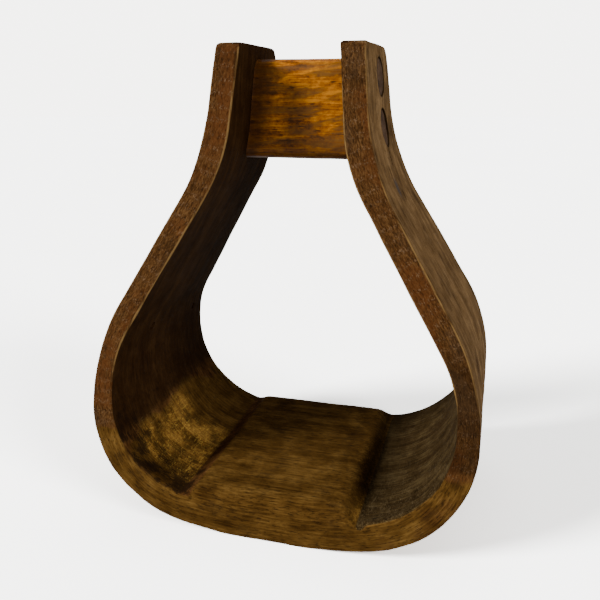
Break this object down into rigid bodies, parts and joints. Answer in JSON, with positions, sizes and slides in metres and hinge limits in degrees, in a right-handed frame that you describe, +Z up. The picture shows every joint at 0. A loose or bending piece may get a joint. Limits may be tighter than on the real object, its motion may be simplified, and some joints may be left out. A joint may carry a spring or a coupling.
{
  "type": "bentwood stirrup",
  "caption": "Bell-shaped riding stirrup bent from one wooden plank, with a raised tread, scooped bends and a wooden block bolted across its narrow neck.",
  "frame": {"origin": "on the ground, in the middle of the underside of the tread", "axes": "+Z up through the neck, X across the stirrup, -Y out of the front face that the foot enters"},
  "size_m": [0.1664, 0.109, 0.204],
  "materials": {
    "bow_wood": "dark old oil finish, worn lighter on the edges and the tread",
    "transom_wood": "amber varnish, satin",
    "plug_wood": "dark, grey-brown, matt",
    "old_steel": "dull, tarnished"
  },
  "bodies": {
    "root": {"bow": "bow_wood", "transom": "transom_wood", "upper_bolt": "old_steel", "lower_bolt": "old_steel", "upper_bolt_nut": "old_steel", "lower_bolt_nut": "old_steel", "upper_head_washer": "old_steel", "upper_nut_washer": "old_steel", "lower_head_washer": "old_steel", "lower_nut_washer": "old_steel", "right_upper_plug": "plug_wood", "right_lower_plug": "plug_wood", "left_upper_plug": "plug_wood", "left_lower_plug": "plug_wood"}
  },
  "joints": []
}
